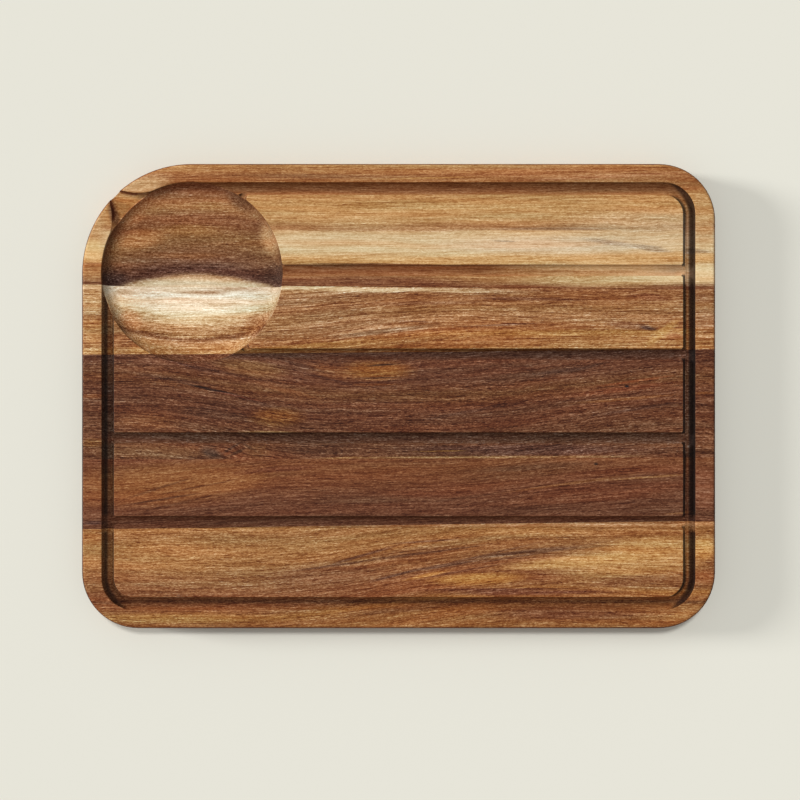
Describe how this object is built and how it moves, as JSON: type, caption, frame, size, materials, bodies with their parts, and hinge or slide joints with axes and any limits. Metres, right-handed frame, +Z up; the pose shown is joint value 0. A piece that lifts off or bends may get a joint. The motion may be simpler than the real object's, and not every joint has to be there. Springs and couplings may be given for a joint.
{
  "type": "carving board",
  "caption": "Rectangular wooden carving board of edge-glued staves with a round corner bowl, a pouring spout, a perimeter juice groove and cutting lanes.",
  "frame": {"origin": "middle of the underside, on the surface that the board lies on", "axes": "+X along the grain and the board's length, +Y across the staves towards the edge with the bowl, +Z up out of the cutting face"},
  "size_m": [0.45, 0.33, 0.02],
  "materials": {
    "back_stave": "oiled acacia, golden brown with cream sapwood",
    "cream_stave": "oiled acacia, golden with a pale sapwood edge",
    "wide_dark_stave": "oiled acacia heartwood, dark red brown",
    "narrow_dark_stave": "oiled acacia heartwood, red brown",
    "front_stave": "oiled acacia, golden brown"
  },
  "bodies": {
    "root": {"back_stave": "back_stave", "cream_stave": "cream_stave", "wide_dark_stave": "wide_dark_stave", "narrow_dark_stave": "narrow_dark_stave", "front_stave": "front_stave"}
  },
  "joints": []
}
